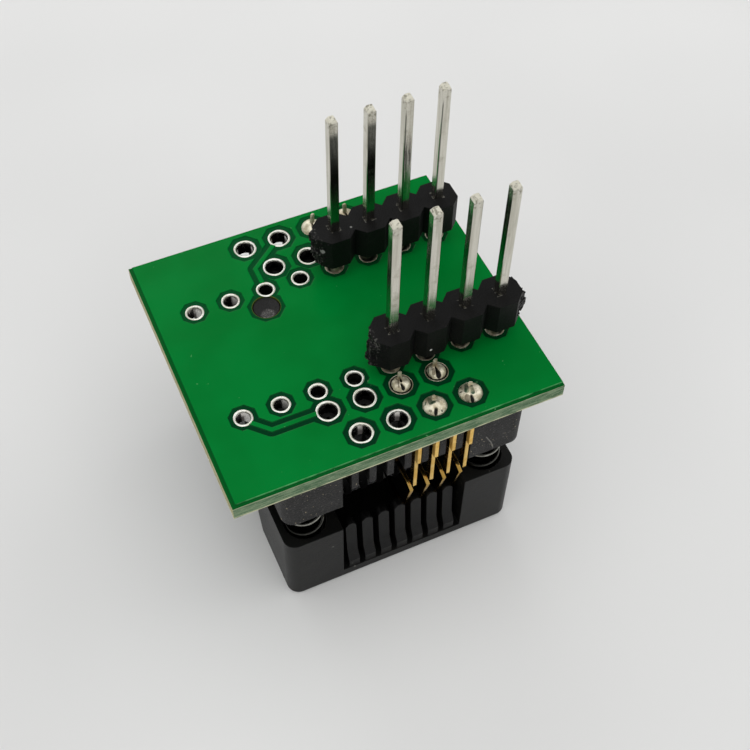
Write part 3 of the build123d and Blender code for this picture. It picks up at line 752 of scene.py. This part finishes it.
def make_joint(mesh, layers, centre, row, name, number):
    """One joint: a dense disc raised to the mound, with the marks of its strokes."""
    mound_r = row.pad_r * (0.80 if row.inner else 0.985)
    rings = []
    for r in range(DOME_RINGS + 1):
        radius = row.pad_r * r / DOME_RINGS
        ring = []
        for cos, sin in circle(DOME_SIDES):
            x, y = radius * cos, radius * sin
            lump = noise.noise(Vector((x / MM * 2.4 + number * 3.3, y / MM * 2.4, 0.5)))
            bend = noise.noise(Vector((cos + number, sin, 2.2)))
            bent = mound_r * (1 + 0.06 * bend)
            height = mound_height(radius, min(bent, row.pad_r * 0.99), row.pad_r)
            height *= 1 + 0.22 * lump * max(0.0, 1 - radius / row.pad_r)
            cover = dict.fromkeys(MARKS, 0.0)
            for stroke in STROKES[name]:
                kind = stroke[0]
                cover[kind] = max(cover[kind], stroke_cover(x / MM, y / MM, stroke))
            if bent * 0.985 < radius < row.pad_r - 0.07 * MM:
                cover["pit"] = 1.0
            height = max(0.004 * MM, height * (1 - 0.35 * cover["pit"]))
            vertex = mesh.verts.new((centre.x + x, centre.y + y, PAD_FLOOR + height))
            for kind, layer in layers.items():
                vertex[layer] = cover[kind]
            ring.append(vertex)
        rings.append(ring)
    rings.append([mesh.verts.new((v.co.x, v.co.y, PAD_FLOOR)) for v in rings[-1]])
    skin(mesh, rings)
    cap(mesh, rings[-1])


def make_tail(mesh, layers, centre, tail, number):
    """The contact's tail: a thin strip wetted with solder, wide at its foot."""
    turn = 0.2 * noise.noise(Vector((number * 2.9, 0.7, 0)))
    offset_x, offset_y, tall = tail
    outline = [(0.24, 0.15, 0.2), (0.17, 0.11, 0.42), (0.145, 0.09, tall - 0.06), (0.11, 0.07, tall)]
    rings = []
    for half_x, half_y, height in outline:
        ring = []
        for cos, sin in circle(TAIL_SIDES):
            x = (offset_x + turn * (height - 0.2) + half_x * cos) * MM
            y = (offset_y + half_y * sin) * MM
            vertex = mesh.verts.new((centre.x + x, centre.y + y, PAD_FLOOR + height * MM))
            vertex[layers["dull"]] = 0.65 if height < tall - 0.1 else 0.1
            ring.append(vertex)
        rings.append(ring)
    skin(mesh, rings)
    cap(mesh, rings[0], rings[-1])


# %% Make the socket's joints


def make_socket_joints(paint):
    """The eight soldered joints of the socket."""
    mesh = bmesh.new()
    layers = mark_layers(mesh)
    number = 0
    for row in SOCKET_ROWS:
        for x, y, used in row.places():
            if used:
                number += 1
                name = f"front_{number}" if number < 5 else "back"
                centre = Vector((x, y, 0))
                make_joint(mesh, layers, centre, row, name, number)
                make_tail(mesh, layers, centre, TAILS[name], number)
    bmesh.ops.remove_doubles(mesh, verts=mesh.verts, dist=0.0005 * MM)
    return finish_mesh("socket_joints", mesh, paint, "adapter", ["socket_solder"])


joints = make_socket_joints(solder_skin)
print("socket joints have", len(joints.data.polygons), "faces")

# %% [markdown]
# ## Solder fillets
# At each header pin the solder climbs in a hollow curve from the pad to the pin. Only its
# foot shows under the strip, as a thin bright crescent, and the hollow above it mirrors
# the black plastic and looks olive to black. A circular arc, spun about the pin's axis,
# gives the curve, and the same marks as on the joints give its dark part.

# %% Make the header fillets
FILLET_DARK = {0: 0.35, 1: 1.0, 2: 0.75, 3: 0.6}
FILLET_FOOT = 0.93
FILLET_STEPS = 8


def make_fillets(paint):
    """The eight header joints: an arc from the pad's rim up to the pin."""
    mesh = bmesh.new()
    layers = mark_layers(mesh)
    top, floor = strip_low.z, PAD_FLOOR + PLATE
    for row in HEADER_ROWS:
        neck = (first_pin_high.x - first_pin_low.x) * 0.72
        foot = row.pad_r * FILLET_FOOT
        profile = [(row.pad_r, PAD_FLOOR), (row.pad_r * 0.985, floor), (foot, floor)]
        for i in range(1, FILLET_STEPS + 1):
            angle = math.pi / 2 * i / FILLET_STEPS
            radius = foot - (foot - neck) * math.sin(angle)
            profile.append((radius, floor + (top - floor) * (1 - math.cos(angle))))
        used_places = [(x, y) for x, y, used in row.places() if used]
        for number, (x, y) in enumerate(used_places):
            centre = Vector((x, y, 0))
            rings = spin(mesh, centre, profile, RING_SIDES, ring_wobble(centre, row.pad_r))
            for k, ring in enumerate(rings):
                for vertex in ring:
                    patch = noise.noise(vertex.co / MM * 2.2)
                    dark = min(1.0, max(0.0, FILLET_DARK[number] + patch))
                    vertex[layers["dull"]] = 0.0 if k < 2 else 0.8
                    vertex[layers["pit"]] = 0.0 if k < 3 else dark
            cap(mesh, rings[0], rings[-1])
    return finish_mesh("header_joints", mesh, paint, "adapter", ["header_solder"])


fillets = make_fillets(solder_skin)
print("header joints have", len(fillets.data.polygons), "faces")

# %% [markdown]
# ## Header pins
# The pins are square brass rod, tinned and cut off with a blunt point. The CAD boxes
# have the right size. Rings of an eight-sided outline add the slightly rounded edges
# that catch a line of light.
#
# Metal is as dark as what it mirrors. In the photograph the back row's two left pins
# have a dark front, the other two a dark line, and the front row's a dark left side. What
# they mirror isn't in the scene, so a mask finds the face and paints it dark.

# %% Paint the pins
PIN_FACE = (-0.315, -0.29)
PIN_TOP = first_pin_high.z / MM
LINE_AT = 0.235


def pin_shade(x, y, z, streak):
    """1 where a pin mirrors something dark."""
    number, across = along_row(x)
    back = y.rise(SOCKET_Y / MM - 0.1, SOCKET_Y / MM + 0.1)
    along = y - SOCKET_Y / MM - (back * 2 - 1) * HEADER_Y
    below = 1 - z.rise(PIN_TOP - 1.5, PIN_TOP - 0.8)
    front_face = (1 - along.rise(*PIN_FACE)) * below
    left_face = (1 - across.rise(*PIN_FACE)) * below
    upper = z.rise(PIN_TOP - 7.2, PIN_TOP - 4.6)
    right_pins = number.rise(5.2, 5.8)
    wide = front_face * (0.45 + upper * 0.5) * (1 - right_pins) * (0.7 + streak * 0.5)
    line = front_face * (1 - abs(across + LINE_AT).rise(0.02, 0.06)) * right_pins * 0.9
    side = left_face * (0.3 + upper * 0.5)
    return back * wide.high(line) + (1 - back) * side


def pin_paint():
    """Tin plating with drawing streaks along the pin, rough and a little dirty at the tip."""
    paint = Paint("pin_tin", "pin_metal", Metallic=1.0)
    x, y, z = paint.place
    streak = paint.grain(5.0, 3.0, stretch=(1, 1, 0.06))
    cloud = paint.grain(1.2, 3.0)
    colour = paint.mix(streak.rise(0.35, 0.65), (192, 189, 176), (216, 213, 202))
    stain = cloud.rise(0.55, 0.75) * 0.5
    tip = z.rise(PIN_TOP - 0.3, PIN_TOP - 0.2)
    colour = paint.mix(stain, colour, (170, 165, 148))
    colour = paint.mix(pin_shade(x, y, z, streak), colour, (26, 34, 31))
    dirt = paint.grain(4.5, 2.0).rise(0.5, 0.66) * z.rise(PIN_TOP - 1.2, PIN_TOP - 0.5)
    colour = paint.mix(tip, colour, (226, 223, 208))
    colour = paint.mix(dirt * 0.6, colour, (96, 92, 72))
    paint.set(Base_Color=colour, Roughness=0.1 + streak * 0.14 + stain * 0.2 + tip * 0.4)
    paint.bump(streak + cloud * 0.3, 0.012)
    return paint


pin_tin = pin_paint()
print("pin paint has", len(pin_tin.tree.nodes), "nodes")

# %% Make the pins
PIN_EDGE = 0.045 * MM
PIN_POINT = 0.28 * MM
PIN_TIP = 0.18 * MM
PIN_BREAK = 0.02 * MM


def square_ring(mesh, centre, half, edge, height):
    """Eight points round a square with its corners cut."""
    inner = half - edge
    corners = [(half, inner), (inner, half), (-inner, half), (-half, inner)]
    corners += [(-half, -inner), (-inner, -half), (inner, -half), (half, -inner)]
    return [mesh.verts.new((centre.x + x, centre.y + y, height)) for x, y in corners]


def make_pin(name, paint):
    """One pin: shank, bevelled shoulder and blunt point."""
    low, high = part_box(name)
    centre = (low + high) / 2
    half = (high.x - low.x) / 2
    shoulder = high.z - PIN_POINT
    mesh = bmesh.new()
    sizes = [(half, low.z), (half, shoulder - PIN_BREAK), (half * 0.96, shoulder + PIN_BREAK)]
    sizes += [(PIN_TIP * 1.06, high.z - PIN_BREAK), (PIN_TIP * 0.94, high.z)]
    rings = []
    for size, height in sizes:
        rings.append(square_ring(mesh, centre, size, min(PIN_EDGE, size * 0.35), height))
    skin(mesh, rings)
    cap(mesh, rings[0], rings[-1])
    return finish_mesh(name.replace("header_", ""), mesh, paint, "adapter", [name], smooth=30)


pins = [make_pin(f"header_pin_{number}", pin_tin) for number in range(1, 9)]
print("pins:", len(pins))

# %% [markdown]
# ## Mouldings
# The strips, the socket's base and its cover have the right form in CAD, but moulded
# edges are a little round, which is what shows them in the light. So each is copied, its
# flat faces are joined up again, and every real edge gets a small bevel. Normals
# weighted by area then keep the large faces flat to the light.

# %% Round a moulding's edges


def round_edges(name, piece_name, paint, body, width, segments=2, top=None):
    """A copy of a CAD node with bevelled edges; what stands above top is pressed down."""
    mesh = bmesh.new()
    mesh.from_mesh(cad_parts[name].data)
    for vertex in mesh.verts if top else ():
        vertex.co.z = min(vertex.co.z, top)
    bmesh.ops.remove_doubles(mesh, verts=mesh.verts, dist=0.002 * MM)
    bmesh.ops.dissolve_limit(mesh, angle_limit=math.radians(1), verts=mesh.verts, edges=mesh.edges)
    piece = finish_mesh(piece_name, mesh, paint, body, [name], smooth=60)
    bevel = piece.modifiers.new("bevel", "BEVEL")
    bevel.width = width
    bevel.segments = segments
    bevel.limit_method = "ANGLE"
    bevel.angle_limit = math.radians(25)
    weigh = piece.modifiers.new("weigh", "WEIGHTED_NORMAL")
    weigh.weight = 100
    bpy.context.view_layer.objects.active = piece
    bpy.ops.object.modifier_apply(modifier="bevel")
    bpy.ops.object.modifier_apply(modifier="weigh")
    return piece


print("helper: round_edges")

# %% Paint the strips
# Painted highlights, as (place, radius, strength) in millimetres: glints on a dimple and a few burrs
STRIP_GLINTS = [
    ((0.57, 4.08, 20.64), 0.22, 0.4), ((5.06, 3.59, 20.10), 0.11, 1.0),
    ((2.81, 4.49, 21.65), 0.10, 0.35), ((2.52, -5.63, 21.48), 0.10, 0.8),
    ((3.92, -5.63, 19.80), 0.11, 1.0),
]
TORN_FROM = 5.0
FOOT_HALF = 0.37


def strip_paint():
    """Black header plastic, satin, with pale specks where it was torn, and painted glints round the
    pins' feet and on a few burrs.
    """
    paint = Paint("strip_black", "header_plastic", Specular_IOR_Level=0.16)
    x, y, z = paint.place
    cloud = paint.grain(0.8, 3.0)
    fine = paint.grain(9.0, 2.0)
    colour = paint.mix(cloud.rise(0.3, 0.7), (5, 5, 5), (11, 11, 11))
    torn = (abs(x - (strip_low.x + strip_high.x) / 2 / MM) - TORN_FROM).rise(0.0, 0.12)
    speck = paint.grain(6.0, 3.0).rise(0.52, 0.66) * torn
    colour = paint.mix(speck * 0.45, colour, (112, 110, 106))
    # Painted highlights: pale glints round each pin's foot
    across = abs(along_row(x)[1])
    along = abs(from_middle(y) - HEADER_Y)
    ring = abs(across.high(along) - FOOT_HALF)
    foot = (1 - ring.rise(0.02, 0.05)) * z.rise(strip_high.z / MM - 0.06, strip_high.z / MM - 0.03)
    foot = foot * paint.grain(5.0, 2.0).rise(0.5, 0.64)
    colour = paint.mix(foot * 0.4, colour, (150, 148, 138))
    # Painted highlights: the glints listed above
    for centre, radius, strength in STRIP_GLINTS:
        mark = paint.near(centre, radius) * strength
        colour = paint.mix(mark, colour, (196, 196, 192))
    paint.set(Base_Color=colour, Roughness=0.5 + fine * 0.15)
    paint.bump(fine + cloud, 0.03)
    return paint


strip_black = strip_paint()
print("strip paint has", len(strip_black.tree.nodes), "nodes")

# %% Paint the socket's two mouldings
# Where the bay's side faces and the tower's faces lie, in millimetres from the middle
BAY_SIDE = (4.66, 4.7)
TOWER_FACE = (5.2, 5.25)
TOWER_TOP = (14.0, 14.2)
SCRATCH = [(6.95, 12.3), (7.42, 11.35), (7.62, 10.6)]


def bay_mask(x, y, start, end):
    """1 in the bays of the contacts, whose outer faces lie between start and end."""
    from_x = abs(x - SOCKET_X / MM)
    return (1 - from_x.rise(*BAY_SIDE)) * (1 - from_middle(y).rise(start, end))


def base_paint():
    """Glass-filled dark grey plastic with tiny pale specks; smoother inside, where painted shade makes
    it black, and a painted glint on the peg.
    """
    paint = Paint("base_grey", "base_plastic", Specular_IOR_Level=0.3)
    x, y, z = paint.place
    cloud = paint.grain(0.7, 4.0)
    fine = paint.grain(6.0, 3.0)
    colour = paint.mix(cloud.rise(0.3, 0.7), (17, 17, 17), (33, 32, 32))
    speck = paint.grain(9.0, 1.0).rise(0.66, 0.72)
    colour = paint.mix(speck * 0.3, colour, (140, 138, 134))
    speck = paint.grain(5.5, 0.0).rise(0.79, 0.83)
    colour = paint.mix(speck * 0.6, colour, (176, 164, 138))
    front = 1 - y.rise(-8.8, -8.7)
    upper, lower = [run_distance(x, z, *ends) for ends in zip(SCRATCH, SCRATCH[1:])]
    scratch = (1 - upper.low(lower).rise(0.02, 0.06)) * front
    colour = paint.mix(scratch * 0.35, colour, (170, 168, 160))
    # Painted shade: the bays and the tower, deep inside, are painted near-black
    tower = (1 - from_middle(y).rise(*TOWER_FACE)) * (1 - z.rise(*TOWER_TOP))
    inside = bay_mask(x, y, 8.92, 9.0).high(tower)
    colour = paint.mix(inside, colour, (8, 8, 8))
    # Painted highlight: a glint on the peg's dark top
    peg_glint = paint.near((PEG_X - 0.1, PEG_Y - 0.62, BOARD_TOP / MM), 0.6)
    peg_glint = paint.grain(16.0, 1.0).rise(0.4, 0.75) * peg_glint
    peg_top = paint.mix(peg_glint * 0.75, (12, 11, 10), (150, 147, 144))
    colour = paint.mix(z.rise(BOARD_TOP / MM - 0.4, BOARD_TOP / MM - 0.3), colour, peg_top)
    paint.set(Base_Color=colour, Roughness=0.52 + fine * 0.15 - inside * 0.1)
    paint.bump(fine + paint.grain(14.0, 1.0) * 0.6, 0.04)
    return paint


def cover_paint():
    """Smooth charcoal plastic, a little glossy, with faint flow marks and painted shade on the ribs in
    the bays.
    """
    paint = Paint("cover_charcoal", "cover_plastic", Specular_IOR_Level=0.2)
    x, y, z = paint.place
    cloud = paint.grain(0.35, 3.0)
    fine = paint.grain(10.0, 2.0)
    colour = paint.mix(cloud.rise(0.3, 0.7), (8, 8, 8), (15, 15, 13))
    colour = paint.mix(paint.grain(2.0, 1.0).rise(0.76, 0.8) * 0.4, colour, (120, 118, 112))
    # Painted shade: the ribs in the bays are painted darker, darkest on their upper part
    rib_shade = paint.mix(1 - z.rise(2.3, 2.7), (4, 4, 4), (13, 13, 13))
    colour = paint.mix(bay_mask(x, y, 8.98, 9.02) * z.rise(1.02, 1.1), colour, rib_shade)
    paint.set(Base_Color=colour, Roughness=0.34 + cloud * 0.1 + fine * 0.05)
    paint.bump(fine * 0.4 + cloud, 0.03)
    return paint


base_grey = base_paint()
cover_charcoal = cover_paint()
print("base paint has", len(base_grey.tree.nodes), "nodes")

# %% [markdown]
# ## Gold
# The contacts' outer legs stand in the light and look pale gold. The levers below them
# get painted shade that makes them browner, and what lies deeper in the socket gets
# painted shade that is nearly black. The height and the distance from the middle tell the
# three apart.

# %% Paint the contacts
LEG_FACE = (9.06, 9.09)
LEVER_TOP = (9.0, 9.4)


def gold_paint():
    """Gold plating: dull on the legs' outer faces, with painted shade on the levers and inside."""
    paint = Paint("contact_gold", "contact_gold", Metallic=1.0)
    x, y, z = paint.place
    cloud = paint.grain(1.4, 3.0)
    streak = paint.grain(6.0, 2.0, stretch=(1, 1, 0.15))
    out = from_middle(y)
    face = out.rise(*LEG_FACE)
    low = 1 - z.rise(*LEVER_TOP)
    colour = paint.mix(cloud.rise(0.35, 0.65), (236, 194, 100), (248, 214, 134))
    # Painted shade: browner on the levers, dark on the inner parts and nearly black on the inner levers
    colour = paint.mix(low * (1 - face) * 0.75, colour, (146, 114, 54))
    colour = paint.mix(1 - out.rise(5.6, 6.8), colour, (52, 38, 16))
    colour = paint.mix((1 - out.rise(6.6, 7.6)) * low, colour, (30, 21, 9))
    paint.set(Base_Color=colour, Roughness=0.12 + streak * 0.12 + face * 0.4)
    paint.bump(streak, 0.01)
    return paint


contact_gold = gold_paint()
print("gold paint has", len(contact_gold.tree.nodes), "nodes")

# %% Round the mouldings and the contacts
STRIP_EDGE, BASE_EDGE, COVER_EDGE, CONTACT_EDGE = 0.07 * MM, 0.06 * MM, 0.07 * MM, 0.03 * MM
for side_name in ("front", "back"):
    round_edges(f"header_strip_{side_name}", f"strip_{side_name}", strip_black, "adapter", STRIP_EDGE)
base = round_edges("socket_base", "base_moulding", base_grey, "adapter", BASE_EDGE)
round_edges("socket_cover", "cover_moulding", cover_charcoal, "cover", COVER_EDGE)
for number in range(1, 9):
    names = f"contact_{number}", f"contact_strip_{number}"
    round_edges(*names, contact_gold, "adapter", CONTACT_EDGE, segments=1, top=PAD_FLOOR)
print("base has", len(base.data.polygons), "faces")

# %% [markdown]
# ## Torn plastic
# The strips were cut from longer ones, and chips and burrs stand off their torn ends.
# The CAD solid has the large steps. A displaced mesh would round the small ones, and torn
# plastic is all corners. So small crumpled lumps are set where a ray meets the tear.

# %% Scatter chips on the torn ends
CHIPS = 90
TEAR_REACH = 1.9 * MM
CHIP_SMALL, CHIP_SPREAD = 0.05, 0.075
# The burr at the front strip's right end, as (place, size) in millimetres
BURR = [((11.05, -4.42, 19.3), 0.29), ((11.08, -4.1, 19.7), 0.2), ((11.1, -3.3, 20.2), 0.14)]


def chip(mesh, centre, size, seed):
    """One crumpled lump, which stays inside the board's outline."""
    made = bmesh.ops.create_icosphere(mesh, subdivisions=1, radius=size)
    for vertex in made["verts"]:
        push = noise.noise(vertex.co * (0.9 / size) + Vector((seed * 1.37, seed * 0.61, 0.2)))
        vertex.co = vertex.co * (1 + 0.8 * push) + centre
        vertex.co.x = min(vertex.co.x, board_high.x)


def tear(strip, mesh, way, count):
    """Chips over one torn end; way is -1 at the left end and 1 at the right."""
    tree = BVHTree.FromObject(strip, bpy.context.evaluated_depsgraph_get())
    low = Vector(strip.bound_box[0])
    high = Vector(strip.bound_box[6])
    for i in range(count):
        share_y, share_z = (i * 0.6180339) % 1.0, (i * 0.7548777 + 0.3) % 1.0
        x = (high.x if way > 0 else low.x) + way * MM
        y = low.y + (high.y - low.y) * share_y
        start = Vector((x, y, low.z + (high.z - low.z) * share_z))
        spot = tree.ray_cast(start, Vector((-way, 0, 0)), TEAR_REACH)[0]
        if spot:
            spread = abs(noise.noise(Vector((i * 1.7, 0.3, way))))
            size = (CHIP_SMALL + CHIP_SPREAD * spread) * MM
            chip(mesh, spot + Vector((-way * 0.2 * size, 0, 0)), size, i)


def make_chips(side_name, ways):
    """The chips of one strip, as one piece."""
    strip = bpy.data.objects[f"strip_{side_name}"]
    mesh = bmesh.new()
    for way in ways:
        tear(strip, mesh, way, CHIPS)
    for place, size in BURR if side_name == "front" else ():
        chip(mesh, Vector(place) * MM, size * MM, 3)
    return finish_mesh(f"chips_{side_name}", mesh, strip_black, "adapter", smooth=20)


chips = [make_chips("front", (-1, 1)), make_chips("back", (-1,))]
print("chips have", sum(len(piece.data.polygons) for piece in chips), "faces")

# %% [markdown]
# ## The window's lip
# Seen past the contacts, the cover's window is dark: a thin lip runs along its two long
# sides. It's a bevelled bar on each side, at the height of the cover's floor, and it
# keeps the lit floor under the window out of sight.

# %% Make the window's lip
LIP_Y = (3.2, 3.66)
LIP_Z = (0.3, 0.92)
LIP_BEVEL = 0.25
LIP_HALF_LENGTH = 5.5


def make_window_lip(paint):
    """Two bars along the window's long sides."""
    mesh = bmesh.new()
    for side in (-1, 1):
        inner, outer = side * LIP_Y[0], side * LIP_Y[1]
        bottom, top = LIP_Z
        outline = [(outer, top), (outer, bottom), (inner + side * LIP_BEVEL, bottom)]
        outline += [(inner, bottom + LIP_BEVEL), (inner, top)]
        ends = []
        for x in (-LIP_HALF_LENGTH, LIP_HALF_LENGTH):
            corners = [(SOCKET_X + x * MM, SOCKET_Y + y * MM, z * MM) for y, z in outline]
            ends.append([mesh.verts.new(corner) for corner in corners])
        skin(mesh, ends)
        cap(mesh, *ends)
    return finish_mesh("window_lip", mesh, paint, "cover", smooth=30)


window_lip = make_window_lip(cover_charcoal)
print("window lip has", len(window_lip.data.polygons), "faces")

# %% [markdown]
# ## Springs
# Four round-wire springs hold the cover away from the board. The last turn at each end
# is wound flat. They shorten as the cover is pressed, which a rigid body can't do.

# %% Make the springs
SPRING_TURNS = 8
WIRE_R = 0.085 * MM
COIL_R = 1.3 * MM
SPRING_START = -1.7
COIL_STEPS = 40
CLOSED_ENDS = 0.5


def steel_paint():
    """Bright spring wire with fine drawing marks, and painted shade inside the cover."""
    paint = Paint("spring_wire", "spring_steel", Metallic=1.0)
    cloud = paint.grain(3.0, 2.0)
    bright = paint.mix(cloud.rise(0.3, 0.7), (124, 124, 118), (162, 162, 154))
    # Painted shade: the wire is dark inside the cover's pockets and up to just above its rim
    out = paint.place[2].rise(cover_high.z / MM - 0.1, cover_high.z / MM + 1.6)
    paint.set(Base_Color=paint.mix(out, (26, 26, 25), bright))
    paint.set(Roughness=0.28 + cloud * 0.12)
    paint.bump(cloud, 0.01)
    return paint


def make_spring(number, paint):
    """A coil between the cover's pocket and the base's, closed at both ends."""
    low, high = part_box(f"coil_spring_{number}")
    centre = (low + high) / 2
    bottom = low.z + WIRE_R
    rise = high.z - low.z - 2 * WIRE_R
    count = SPRING_TURNS * COIL_STEPS
    points = []
    for i in range(count + 1):
        share = i / count
        eased = share - math.sin(2 * math.pi * share) / (2 * math.pi) * CLOSED_ENDS
        angle = SPRING_START + 2 * math.pi * SPRING_TURNS * share
        x = centre.x + COIL_R * math.cos(angle)
        points.append(Vector((x, centre.y + COIL_R * math.sin(angle), bottom + rise * eased)))
    mesh = bmesh.new()
    tube(mesh, points, WIRE_R, sides=10)
    piece = finish_mesh(f"spring_{number}", mesh, paint, "adapter", [f"coil_spring_{number}"])
    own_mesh(piece)
    return piece


spring_wire = steel_paint()
springs = [make_spring(number, spring_wire) for number in range(1, 5)]
print("springs:", len(springs))
